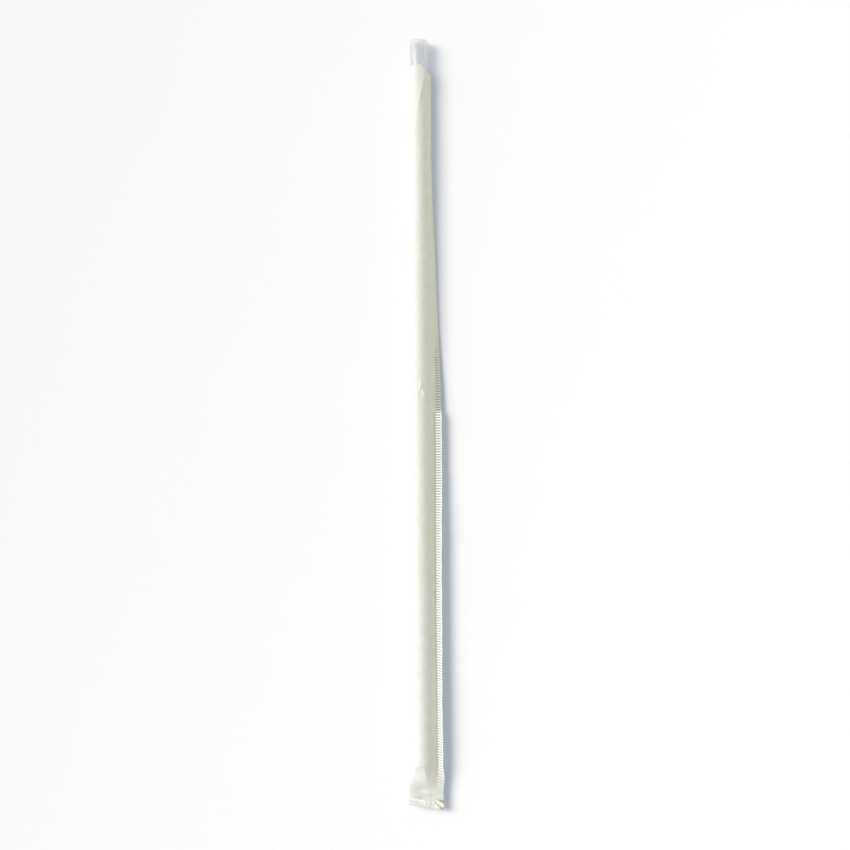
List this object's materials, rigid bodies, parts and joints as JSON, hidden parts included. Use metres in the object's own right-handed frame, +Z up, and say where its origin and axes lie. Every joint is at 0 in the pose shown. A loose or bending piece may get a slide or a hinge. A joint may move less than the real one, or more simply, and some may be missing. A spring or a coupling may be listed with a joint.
{
  "type": "wrapped drinking straw",
  "caption": "Clear plastic drinking straw lying in its paper sleeve, which is fin-sealed along one side, crimped flat at the foot and torn open at the other end.",
  "frame": {"origin": "on the flat strip that the sleeve rests on, straight below the straw's axis, half-way along the whole part", "axes": "+Y along the straw, out of its open end; +Z up from the surface the part lies on; +X towards the sleeve's fin seal"},
  "size_m": [0.0136, 0.2766, 0.0067],
  "materials": {
    "straw_plastic": "extruded polypropylene, clear and slightly milky, smooth",
    "sleeve_paper": "thin uncoated bleached paper, matt, crimped along the fin and the foot"
  },
  "bodies": {
    "sleeve": {"paper_sleeve": "sleeve_paper"},
    "straw": {"straw": "straw_plastic"}
  },
  "joints": [
    {"name": "straw_slide", "type": "slide", "parent": "sleeve", "child": "straw", "axis": [0, 1, 0], "range_m": [0, 0.25]}
  ]
}
